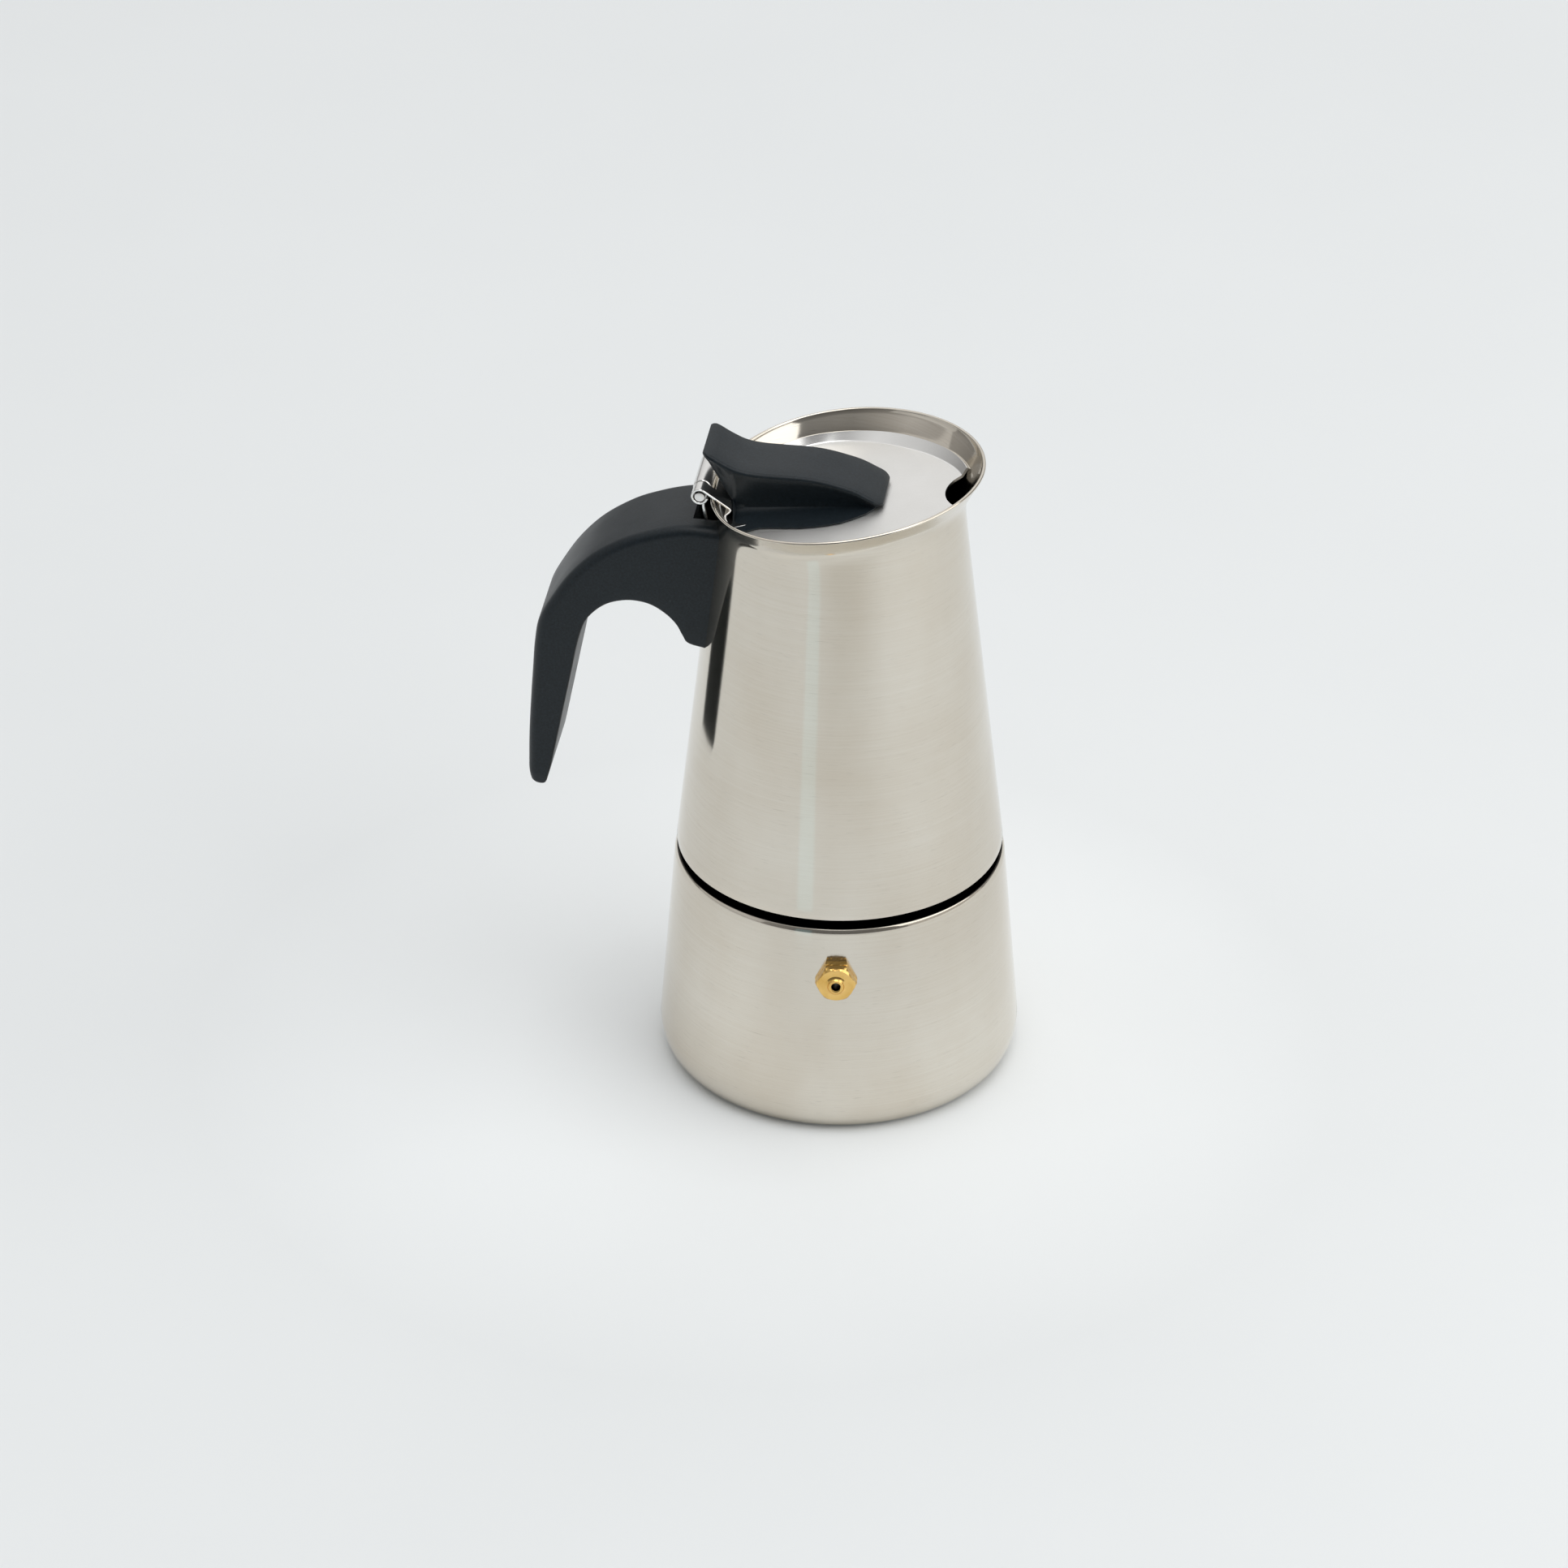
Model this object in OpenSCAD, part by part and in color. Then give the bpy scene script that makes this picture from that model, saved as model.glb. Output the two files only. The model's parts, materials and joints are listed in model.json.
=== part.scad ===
// Stovetop moka pot, six-cup class, millimetres.
// +Z is up, the origin is the centre of the resting face, the handle points to -X and the spout to +X.

/* [Boiler] */
// Widest radius of the boiler, just above the base
boiler_max_r = 50; // [49:0.5:51]
// Height of the widest ring above the table
boiler_max_z = 9; // [8:0.5:10]
// Radius of the boiler at the top of its tapered wall
boiler_top_r = 45.5; // [45:0.1:46]
// Height of the shoulder where the wall turns inward
boiler_top_z = 64; // [63.5:0.1:64.2]
// Thickness of the steel sheet
sheet = 1; // [0.9:0.05:1.1]

/* [Collector] */
// Height of the collector's lower edge
skirt_z = 66.8; // [66.6:0.1:67]
// Outer radius at the lower edge
skirt_r = 45.1; // [44.9:0.1:45.3]
// Height of the waist, where the flare begins
waist_z = 167; // [166.5:0.1:167.5]
// Outer radius at the waist
waist_r = 33.7; // [33.6:0.05:33.8]
// Height of the oblique rim on the pot's axis
rim_z = 180.1; // [179.8:0.1:180.4]
// Slope of the rim and the lid, rising to the spout, in degrees
rim_tilt = 7.7; // [7.5:0.1:7.9]

/* [Lid] */
// Height of the lid's flat on the pot's axis
lid_z = 173; // [172.8:0.1:173.2]
// Outer radius of the lid's flat
lid_r = 31.9; // [31.7:0.1:32]
// Distance that the lid's centre sits toward the spout
lid_shift = 0.9; // [0.8:0.05:1]

/* [Handle] */
// Width of the handle across the grip
handle_w = 26.5; // [24:0.5:28]
// Distance from the pot's axis to the hinge pin
pin_x = 36.8; // [36.7:0.05:36.9]
// Height of the hinge pin
pin_z = 177.4; // [177.3:0.05:177.5]
// Radius of the hinge pin
pin_r = 1.5; // [1.4:0.05:1.5]

/* [Safety valve] */
// Direction of the valve around the pot, in degrees from the spout
valve_angle = -83.5; // [-90:0.5:-80]
// Height of the valve axis
valve_z = 49.5; // [48:0.5:52]
// Width of the valve hexagons across flats
hex_af = 10; // [9.5:0.1:10.5]

/* [Hidden] */
$fn = 96;
eps = 0.01;

// Boiler neck and seam stack
neck_in_r = 37.4;
neck_out_r = 39.6;
neck_crest_r = 40.3;
neck_foot_z = 62;
neck_top_z = 78;
thread_pitch = 3;
base_ring_r = 46.5;
base_up = 3;
boiler_slope = (boiler_top_r - boiler_max_r) / (boiler_top_z - boiler_max_z);

// Funnel
flange_z = neck_top_z + 0.3;
flange_t = 0.8;
cup_r = 35.6;
cup_floor_z = 57;
cup_throat_z = 50;
tube_r = 5.6;
tube_wall = 0.7;
tube_foot_z = 7;

// Filter plate and gasket
gasket_z = flange_z + flange_t + 0.3;
gasket_t = 2.8;
gasket_in_r = 31;
gasket_out_r = 40;
plate_z = gasket_z + 0.6;
plate_r = 30.6;

// Collector
collector_slope = (waist_r - skirt_r) / (waist_z - skirt_z);
floor_z = gasket_z + gasket_t + 0.3;
floor_t = 1.2;
ring_z = 68.5;
ring_in_r = 41.2;
ring_crest_r = 40.7;
chimney_foot_r = 7;
chimney_top_r = 5;
chimney_wall = 0.9;
chimney_top_z = 148;
flare = [[34.1, 171], [35.1, 174.6], [36.5, 178.6], [38.1, 182.4], [40.3, 187]];

// Handle fixing
screw_z = 139.5;

// Hinge
knuckle_r = 2.4;
leaf_w = 24;
mid_knuckle_w = 14.2;
knuckle_gap = 0.35;
leaf_t = 0.8;
pin_clear = 0.05;

// Lid
flange_up = 2.5;
flange_out = 1.5;
notch_x = 39.9;
notch_r = 12;
knob_screw_x = [-18, 0];

// Valve stations, measured outward from the pot's axis
wall_station = boiler_max_r + boiler_slope * (valve_z - boiler_max_z);
nut_end = wall_station + 1.4;
cap_end = nut_end + 2.6;
nub_end = cap_end + 1;

function wall_r(z) = boiler_max_r + boiler_slope * (z - boiler_max_z);
function cone_r(z) = skirt_r + collector_slope * (z - skirt_z);

function unit(v) = v / norm(v);
function side(v) = [-v[1], v[0]];

// Point beside corner i of a path, at distance d from both of its legs
function beside(path, i, d) =
    let (last = len(path) - 1)
    let (from = unit(i == 0 ? path[1] - path[0] : path[i] - path[i - 1]))
    let (to = unit(i == last ? path[last] - path[last - 1] : path[i + 1] - path[i]))
    let (n = unit(side(from) + side(to)))
    path[i] + n * d / (n * side(from));

// Sheet strip that follows a path in the X-Z plane, centred on Y = 0
module strip(path, t, w) {
    last = len(path) - 1;
    rotate([90, 0, 0])
        linear_extrude(w, center = true)
            polygon(concat(
                [for (i = [0 : last]) beside(path, i, t / 2)],
                [for (i = [last : -1 : 0]) beside(path, i, -t / 2)]));
}

// Solid of the collector's outside, up to the given heights
module collector_outside(grow = 0) {
    rotate_extrude()
        polygon(concat(
            [[0, skirt_z], [skirt_r + grow, skirt_z], [waist_r + grow, waist_z]],
            [for (p = flare) [p[0] + grow, p[1]]],
            [[0, flare[len(flare) - 1][1]]]));
}

// Everything above the oblique plane through height h on the axis
module above_plane(h) {
    translate([0, 0, h])
        rotate([0, -rim_tilt, 0])
            translate([-80, -80, 0])
                cube([160, 160, 60]);
}

// Frame of the valve: local Z runs outward from the pot's axis
module at_valve() {
    translate([0, 0, valve_z])
        rotate([0, 0, valve_angle])
            rotate([0, 90, 0])
                children();
}

// Frame of the lid: local origin on the lid's flat, tilted with the rim
module at_lid() {
    translate([0, 0, lid_z])
        rotate([0, -rim_tilt, 0])
            translate([lid_shift, 0, 0])
                children();
}

// Circular frame of the hinge pin, axis along Y
module at_pin(w) {
    translate([-pin_x, w / 2, pin_z])
        rotate([90, 0, 0])
            children();
}

module boiler_shell() {
    color("silver")
        difference() {
            rotate_extrude()
                polygon([
                    [base_ring_r - 2, base_up], [base_ring_r, 1], [47.6, 1.8], [49.1, 4], [49.8, 6.3],
                    [boiler_max_r, boiler_max_z], [boiler_top_r, boiler_top_z - 1.2],
                    [boiler_top_r - 0.4, boiler_top_z - 0.35], [boiler_top_r - 1.3, boiler_top_z],
                    [neck_out_r + 0.03, boiler_top_z], [neck_out_r + 0.03, boiler_top_z - sheet],
                    [boiler_top_r - sheet - 0.6, boiler_top_z - sheet],
                    [boiler_max_r - sheet, boiler_max_z], [48.8, 6.5], [48.2, 4.6], [46.6, base_up]
                ]);
            at_valve()
                cylinder(r = 4, h = 60);
        }
}

module boiler_base() {
    color("gainsboro")
        rotate_extrude()
            polygon([
                [0, 0], [44.4, 0], [base_ring_r - 0.3, 0.9],
                [base_ring_r - 2.2, base_up], [46.4, base_up + 0.05], [46.4, 4.2], [0, 4.2]
            ]);
}

module boiler_neck() {
    color("silver")
        rotate_extrude()
            polygon(concat(
                [[neck_in_r, neck_foot_z], [neck_out_r, neck_foot_z], [neck_out_r, neck_foot_z + 5]],
                [for (i = [0 : 2]) each [
                    [neck_out_r, neck_foot_z + 5 + thread_pitch * (i + 0.3)],
                    [neck_crest_r, neck_foot_z + 5 + thread_pitch * (i + 0.55)],
                    [neck_crest_r, neck_foot_z + 5 + thread_pitch * (i + 0.7)],
                    [neck_out_r, neck_foot_z + 5 + thread_pitch * (i + 0.95)]
                ]],
                [[neck_out_r, neck_top_z - 0.5], [neck_out_r - 0.5, neck_top_z], [neck_in_r, neck_top_z]]));
}

module valve_body() {
    color("goldenrod")
        at_valve()
            difference() {
                union() {
                    translate([0, 0, wall_station - 5.5])
                        cylinder(r = 5.6, h = 1.8);
                    translate([0, 0, wall_station - 5.5])
                        cylinder(r = 3.9, h = 6.85);
                }
                cylinder(r = 1.2, h = 100);
                translate([0, 0, wall_station - 4.1])
                    cylinder(r = 2.3, h = 20);
            }
}

module valve_seal() {
    color("firebrick")
        at_valve()
            translate([0, 0, wall_station - 3.68])
                difference() {
                    cylinder(r = 5.6, h = 1.5);
                    translate([0, 0, -1])
                        cylinder(r = 3.95, h = 4);
                }
}

module valve_lock_nut() {
    color("goldenrod")
        difference() {
            at_valve()
                difference() {
                    translate([0, 0, wall_station - 1])
                        rotate(30)
                            cylinder(d = hex_af / cos(30), h = nut_end - wall_station + 1, $fn = 6);
                    cylinder(r = 3.95, h = 100);
                }
            rotate_extrude()
                polygon([[0, 0], [wall_r(0) + 0.02, 0], [wall_r(100) + 0.02, 100], [0, 100]]);
        }
}

module valve_cap() {
    color("gold")
        at_valve()
            difference() {
                union() {
                    intersection() {
                        translate([0, 0, nut_end + 0.02])
                            rotate(30)
                                cylinder(d = (hex_af - 0.1) / cos(30), h = cap_end - nut_end, $fn = 6);
                        translate([0, 0, cap_end - 4])
                            cylinder(r1 = 9, r2 = 5.1, h = 4.1);
                    }
                    translate([0, 0, cap_end])
                        cylinder(r1 = 2.9, r2 = 2, h = nub_end - cap_end);
                }
                translate([0, 0, nut_end - 1])
                    cylinder(r = 2.3, h = 3);
                cylinder(r = 1.3, h = 100);
            }
}

module valve_ball() {
    color("silver")
        at_valve()
            translate([0, 0, wall_station - 2.2])
                sphere(r = 1.9);
}

module valve_spring() {
    color("dimgray")
        at_valve()
            translate([0, 0, wall_station + 0.9])
                difference() {
                    cylinder(r = 1.9, h = 2.4);
                    translate([0, 0, -1])
                        cylinder(r = 1.4, h = 8);
                }
}

module funnel_cup() {
    color("lightgray")
        rotate_extrude()
            polygon([
                [cup_r, flange_z], [39.2, flange_z], [39.2, flange_z + flange_t],
                [cup_r - 0.8, flange_z + flange_t], [cup_r - 0.8, cup_floor_z + 0.5],
                [tube_r + 0.1, cup_throat_z + 0.8], [tube_r + 0.1, cup_throat_z - 1],
                [tube_r + 0.9, cup_throat_z - 1], [tube_r + 0.9, cup_throat_z], [cup_r, cup_floor_z]
            ]);
}

module funnel_tube() {
    color("lightgray")
        difference() {
            translate([0, 0, tube_foot_z])
                cylinder(r = tube_r, h = cup_throat_z + 0.8 - tube_foot_z);
            translate([0, 0, tube_foot_z - 1])
                cylinder(r = tube_r - tube_wall, h = 60);
            translate([0, 0, tube_foot_z - 3])
                rotate([0, 40, 0])
                    translate([-10, -10, -4])
                        cube([20, 20, 6]);
        }
}

module funnel_screen() {
    color("gainsboro")
        difference() {
            translate([0, 0, cup_floor_z + 0.7])
                cylinder(r = cup_r - 0.85, h = 0.7);
            for (ring = [1 : 4], i = [0 : ring * 6 - 1])
                rotate(i * 60 / ring)
                    translate([ring * 6.6, 0, cup_floor_z])
                        cylinder(r = 0.9, h = 3, $fn = 16);
        }
}

module filter_plate() {
    color("gainsboro")
        difference() {
            rotate_extrude()
                polygon([
                    [0, plate_z], [plate_r - 2, plate_z], [plate_r - 1.2, plate_z + 0.9],
                    [plate_r, plate_z + 0.9], [plate_r, plate_z + 1.7], [plate_r - 1.8, plate_z + 1.7],
                    [plate_r - 2.6, plate_z + 0.8], [0, plate_z + 0.8]
                ]);
            for (ring = [1 : 4], i = [0 : ring * 6 - 1])
                rotate(i * 60 / ring)
                    translate([ring * 6, 0, plate_z - 1])
                        cylinder(r = 0.9, h = 3, $fn = 16);
        }
}

module gasket() {
    color("whitesmoke")
        translate([0, 0, gasket_z])
            difference() {
                cylinder(r = gasket_out_r, h = gasket_t);
                translate([0, 0, -1])
                    cylinder(r = gasket_in_r, h = 6);
            }
}

module collector_shell() {
    color("silver")
        difference() {
            collector_outside();
            translate([0, 0, -eps])
                collector_outside(-sheet);
            translate([0, 0, skirt_z - 1])
                cylinder(r = skirt_r - sheet, h = 1.5);
            above_plane(rim_z);
        }
}

module collector_floor() {
    color("gainsboro")
        rotate_extrude()
            polygon([
                [chimney_foot_r + 0.02, floor_z], [cone_r(floor_z) - sheet - 0.06, floor_z],
                [cone_r(floor_z + 3) - sheet - 0.06, floor_z + 3],
                [cone_r(floor_z + 3) - sheet - 0.9, floor_z + 3],
                [cone_r(floor_z) - sheet - 2.2, floor_z + floor_t], [chimney_foot_r + 0.02, floor_z + floor_t]
            ]);
}

module collector_thread_ring() {
    color("silver")
        rotate_extrude()
            polygon(concat(
                [
                    [cone_r(ring_z) - sheet - 0.05, ring_z],
                    [cone_r(floor_z - 0.1) - sheet - 0.05, floor_z - 0.1],
                    [ring_in_r, floor_z - 0.1]
                ],
                [for (i = [3 : -1 : 0]) each [
                    [ring_in_r, ring_z + 1 + thread_pitch * (i + 0.95)],
                    [ring_crest_r, ring_z + 1 + thread_pitch * (i + 0.7)],
                    [ring_crest_r, ring_z + 1 + thread_pitch * (i + 0.55)],
                    [ring_in_r, ring_z + 1 + thread_pitch * (i + 0.3)]
                ]],
                [[ring_in_r, ring_z]]));
}

module chimney() {
    color("silver")
        rotate_extrude()
            polygon([
                [chimney_foot_r - chimney_wall, floor_z], [chimney_foot_r, floor_z],
                [chimney_foot_r, floor_z + floor_t], [chimney_foot_r + 1.5, floor_z + floor_t + 0.02],
                [chimney_foot_r, floor_z + 4], [chimney_top_r, chimney_top_z],
                [chimney_top_r - chimney_wall, chimney_top_z], [chimney_foot_r - chimney_wall, floor_z + 4]
            ]);
}

module chimney_cap() {
    color("gainsboro")
        translate([0, 0, chimney_top_z - 4])
            difference() {
                union() {
                    cylinder(r = 6, h = 12);
                    translate([0, 0, 12])
                        cylinder(r1 = 6, r2 = 3.6, h = 2);
                }
                translate([0, 0, -1])
                    cylinder(r = 5.15, h = 12.2);
                for (side = [0, 180])
                    rotate(side)
                        translate([0, -2.2, 5.6])
                            cube([10, 4.4, 4.4]);
            }
}

module hinge_bracket() {
    color("lightgray")
        difference() {
            union() {
                at_pin(mid_knuckle_w)
                    cylinder(r = knuckle_r, h = mid_knuckle_w);
                strip([[-pin_x, pin_z - 2], [-36.5, 171.5], [-34.78, 163.5], [-37.98, 135]],
                      1.2, mid_knuckle_w);
                translate([-40.4, 0, screw_z])
                    rotate([0, 90, 0])
                        cylinder(r = 3.4, h = 2.8);
            }
            at_pin(40)
                translate([0, 0, -10])
                    cylinder(r = pin_r, h = 60);
            translate([-45, 0, screw_z])
                rotate([0, 90, 0])
                    cylinder(r = 1.6, h = 12);
        }
}

module hinge_pin() {
    color("silver")
        at_pin(leaf_w + 1)
            cylinder(r = pin_r, h = leaf_w + 1);
}

module handle() {
    color("#202225")
        difference() {
            translate([0, handle_w / 2, 0])
                rotate([90, 0, 0])
                    linear_extrude(handle_w)
                        polygon([
                            [-30, 167.6], [-38, 168.2], [-44.3, 167.3], [-51, 165.4], [-57.7, 162.6],
                            [-64.4, 158.5], [-71.2, 152.1], [-77.9, 142.4], [-81.8, 134.4], [-83.3, 120],
                            [-84.4, 104], [-84.9, 87.3], [-84.2, 84.6], [-82.5, 83.1], [-80.4, 83.4],
                            [-79.2, 86.2], [-77.2, 95.9], [-73.2, 115.8], [-70.6, 128.9], [-68.8, 135.4],
                            [-67.2, 138.2], [-63.8, 141.4], [-60.5, 143.2], [-55.5, 144.1], [-50.5, 143.2],
                            [-47.2, 141.5], [-43.6, 137.8], [-41.7, 134.3], [-40.4, 132.1], [-36.9, 130.7],
                            [-30, 130.3]
                        ]);
            collector_outside(0.05);
            translate([-39.3, -mid_knuckle_w / 2 - 0.2, 133.6])
                cube([13, mid_knuckle_w + 0.4, 40]);
            translate([-40.8, 0, screw_z])
                rotate([0, 90, 0])
                    cylinder(r = 3.7, h = 4);
            translate([-60, 0, screw_z])
                rotate([0, 90, 0])
                    cylinder(r = 1.7, h = 30);
            translate([-60, 0, screw_z])
                rotate([0, 90, 0])
                    cylinder(r = 3.4, h = 15);
        }
}

module handle_screw() {
    color("dimgray")
        translate([0, 0, screw_z])
            rotate([0, 90, 0]) {
                difference() {
                    translate([0, 0, -47])
                        cylinder(r = 3.1, h = 2);
                    translate([-0.4, -4, -47.1])
                        cube([0.8, 8, 1.1]);
                }
                translate([0, 0, -45.1])
                    cylinder(r = 1.55, h = 7.4);
            }
}

module lid_plate() {
    color("silver")
        difference() {
            at_lid()
                rotate_extrude()
                    polygon([
                        [0, 0], [lid_r, 0], [lid_r + flange_out, flange_up],
                        [lid_r + flange_out - 0.8, flange_up], [lid_r - 0.6, 0.8], [0, 0.8]
                    ]);
            translate([0, 0, lid_z])
                rotate([0, -rim_tilt, 0]) {
                    translate([notch_x, 0, -5])
                        cylinder(r = notch_r, h = 20);
                    for (x = knob_screw_x)
                        translate([x, 0, -5])
                            cylinder(r = 1.65, h = 20);
                }
        }
}

module lid_hinge_leaf() {
    color("lightgray")
        difference() {
            union() {
                strip([[-pin_x - 0.3, pin_z + 1.9], [-34.8, 178.8], [-29.3, 175], [-29.8, 173.1],
                       [-27.5, 170.53], [-24.3, 170.96]], leaf_t, leaf_w);
                at_pin(leaf_w)
                    cylinder(r = knuckle_r, h = leaf_w);
            }
            at_pin(leaf_w + 4)
                cylinder(r = pin_r + pin_clear, h = leaf_w + 4);
            at_pin(mid_knuckle_w + 2 * knuckle_gap)
                cylinder(r = knuckle_r + 1.2, h = mid_knuckle_w + 2 * knuckle_gap);
        }
}

module lid_knob() {
    color("#202225") {
        difference() {
            translate([0, 9.5, 0])
                rotate([90, 0, 0])
                    linear_extrude(19)
                        polygon([
                            [-36.6, 187.8], [-36.4, 189], [-34, 188.5], [-31, 186.8], [-27, 184.9],
                            [-22.6, 184.1], [-9, 183.8], [-4, 183.2], [0, 182.3], [4.5, 181], [8.5, 179.2],
                            [12.2, 176.6], [11.8, 175.43], [-22, 170.87], [-25.2, 173], [-28.2, 175.6],
                            [-29.6, 176.9], [-31.6, 179.9]
                        ]);
            for (side = [-1, 1])
                translate([-12, side * 40, 178.4])
                    rotate([0, 90, 0])
                        cylinder(r = 32.6, h = 60, center = true);
            for (x = knob_screw_x)
                translate([0, 0, lid_z])
                    rotate([0, -rim_tilt, 0])
                        translate([x, 0, -1])
                            cylinder(r = 1.45, h = 7);
        }
        difference() {
            hull() {
                translate([0, 0, lid_z])
                    rotate([0, -rim_tilt, 0]) {
                        translate([-9, 0, 0.82])
                            cylinder(r = 16.6, h = 1.2, $fn = 48);
                        translate([-0.5, 0, 0.82])
                            cylinder(r = 12, h = 1.2, $fn = 32);
                        for (side = [-1, 1])
                            translate([-23.4, side * 14, 0.82])
                                cylinder(r = 2.6, h = 1.2, $fn = 24);
                    }
                translate([-9, 0, 176.6])
                    cylinder(r = 8, h = 0.6, $fn = 32);
            }
            translate([0, 0, lid_z])
                rotate([0, -rim_tilt, 0])
                    translate([-34, -leaf_w / 2 - 0.3, 0])
                        cube([10, leaf_w + 0.6, 12]);
            for (x = knob_screw_x)
                translate([0, 0, lid_z])
                    rotate([0, -rim_tilt, 0])
                        translate([x, 0, -1])
                            cylinder(r = 1.45, h = 7);
        }
    }
}

module knob_screw(x) {
    color("dimgray")
        translate([0, 0, lid_z])
            rotate([0, -rim_tilt, 0])
                translate([x, 0, 0]) {
                    difference() {
                        translate([0, 0, -1.5])
                            cylinder(r = 2.9, h = 1.45);
                        translate([-0.35, -4, -1.6])
                            cube([0.7, 8, 0.8]);
                    }
                    translate([0, 0, -0.1])
                        cylinder(r = 1.4, h = 5.6);
                }
}

module knob_screw_back() {
    knob_screw(knob_screw_x[0]);
}

module knob_screw_front() {
    knob_screw(knob_screw_x[1]);
}

boiler_shell();
boiler_base();
boiler_neck();
valve_body();
valve_seal();
valve_lock_nut();
valve_cap();
valve_ball();
valve_spring();
funnel_cup();
funnel_tube();
funnel_screen();
filter_plate();
gasket();
collector_shell();
collector_floor();
collector_thread_ring();
chimney();
chimney_cap();
hinge_bracket();
hinge_pin();
handle();
handle_screw();
lid_plate();
lid_hinge_leaf();
lid_knob();
knob_screw_back();
knob_screw_front();
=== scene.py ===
"""Moka pot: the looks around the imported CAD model. Sizes are in millimetres, in the part's own frame."""

import json
import math

import bmesh
import bpy
import numpy as np
from mathutils import Matrix, Vector


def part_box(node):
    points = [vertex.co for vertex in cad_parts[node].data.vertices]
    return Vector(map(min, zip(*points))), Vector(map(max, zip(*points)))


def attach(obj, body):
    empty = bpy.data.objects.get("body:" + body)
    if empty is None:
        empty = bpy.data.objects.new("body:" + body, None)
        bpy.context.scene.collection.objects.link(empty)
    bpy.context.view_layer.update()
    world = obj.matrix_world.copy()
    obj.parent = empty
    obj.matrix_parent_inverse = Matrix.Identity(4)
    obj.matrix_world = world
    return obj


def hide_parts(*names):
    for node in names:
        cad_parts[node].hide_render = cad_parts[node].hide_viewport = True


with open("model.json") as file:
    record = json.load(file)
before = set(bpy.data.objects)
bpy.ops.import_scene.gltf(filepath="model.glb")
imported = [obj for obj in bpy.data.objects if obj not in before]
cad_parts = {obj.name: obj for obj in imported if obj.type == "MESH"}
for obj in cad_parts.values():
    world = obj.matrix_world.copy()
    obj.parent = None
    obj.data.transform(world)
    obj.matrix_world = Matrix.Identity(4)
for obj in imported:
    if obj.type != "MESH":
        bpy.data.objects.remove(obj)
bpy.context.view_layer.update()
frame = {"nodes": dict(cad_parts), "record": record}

MM = 0.001
NODES = frame["nodes"]
TILT = math.radians(7.7)  # slope of the rim and the lid, rising to the spout
SHEET = 1.0  # thickness of the drawn steel
LID_SHEET = 0.8
AROUND = 240  # points around the large steel shells

# ---------------------------------------------------------------- sizes from the frame


def node_box(node):
    """Lowest and highest corner of a CAD node, in mm."""
    low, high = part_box(node)
    return low / MM, high / MM


SKIRT_Z = node_box("collector_shell")[0].z
SKIRT_R = node_box("collector_shell")[1].y
BOILER_R = node_box("boiler_shell")[1].y
BOILER_TOP = node_box("boiler_shell")[1].z
FLOOR_Z = node_box("collector_floor")[0].z
HALF_LEAF = node_box("lid_hinge_leaf")[1].y
HALF_HANDLE = node_box("handle")[1].y
PIN = sum(node_box("hinge_pin"), Vector()) / 2
PIN_R = (node_box("hinge_pin")[1].z - node_box("hinge_pin")[0].z) / 2
VALVE = sum(node_box("valve_ball"), Vector()) / 2
VALVE_ANGLE = math.atan2(VALVE.y, VALVE.x)

WAIST_Z = 167.0
WAIST_R = 33.7
RIM_Z = 180.1  # height of the oblique rim on the pot's axis
BOILER_MAX_Z = 9.0
BOILER_TOP_R = 45.5
LID_Z = 173.0  # height of the lid's flat on the pot's axis
NOTCH_X = 40.5  # centre of the round notch in the lid, at the spout
NOTCH_R = 12.0
PORT_R = 3.93  # hole for the valve's shank


def cone_r(z):
    """Outer radius of the collector's straight taper."""
    return SKIRT_R + (WAIST_R - SKIRT_R) * (z - SKIRT_Z) / (WAIST_Z - SKIRT_Z)


def rim_r(angle):
    """Outer radius of the rim, which is drawn out a little more at the spout."""
    return 37.3 + 1.2 * math.cos(angle) - 0.27 * math.cos(2 * angle) + 0.55 * math.cos(3 * angle)


def rim_z(angle):
    """Height of the rim's edge."""
    return RIM_Z + 0.3 + 0.131 * rim_r(angle) * math.cos(angle) - 0.36 * math.cos(2 * angle)


def lid_plane(x):
    """Height of the underside of the lid's flat."""
    return LID_Z + math.tan(TILT) * x


def polar(table, angle):
    """Value at an angle, from a table over half a turn that is mirrored for the other half."""
    a = abs(math.degrees(math.atan2(math.sin(angle), math.cos(angle))))
    around = [abs(a + d) for d in (-8, -4, 0, 4, 8)]
    return float(np.mean(np.interp(around, [p[0] for p in table], [p[1] for p in table])))


# Height at which the wall turns outward, and the softness of that bend
BEND = [(0, 173.8), (25, 175.6), (54, 177.2), (72, 175.8), (90, 174.2), (113, 172.0), (180, 171.5)]
SOFT = [(0, 3.0), (30, 1.6), (54, 1.0), (90, 1.8), (113, 2.5), (180, 2.5)]


def wall_r(angle, z):
    """Outer radius of the collector: a straight taper, a soft bend and a straight flare up to the rim."""
    top = rim_z(angle) - SHEET / 2
    bend, soft = polar(BEND, angle), polar(SOFT, angle)
    share = (z - bend + math.hypot(z - bend, soft)) / (top - bend + math.hypot(top - bend, soft))
    return cone_r(z) + (rim_r(angle) - cone_r(top)) * share


# ---------------------------------------------------------------- mesh helpers


def new_object(name, verts, faces, sharp=35.0):
    """Mesh object from corners in mm, with doubles merged and faces turned outward."""
    mesh = bpy.data.meshes.new(name)
    mesh.from_pydata([tuple(c * MM for c in v) for v in verts], [], faces)
    mesh.validate()
    clean = bmesh.new()
    clean.from_mesh(mesh)
    bmesh.ops.remove_doubles(clean, verts=clean.verts, dist=1e-7)
    bmesh.ops.recalc_face_normals(clean, faces=clean.faces)
    clean.to_mesh(mesh)
    clean.free()
    obj = bpy.data.objects.new(name, mesh)
    bpy.context.scene.collection.objects.link(obj)
    shade(obj, sharp)
    return obj


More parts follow.
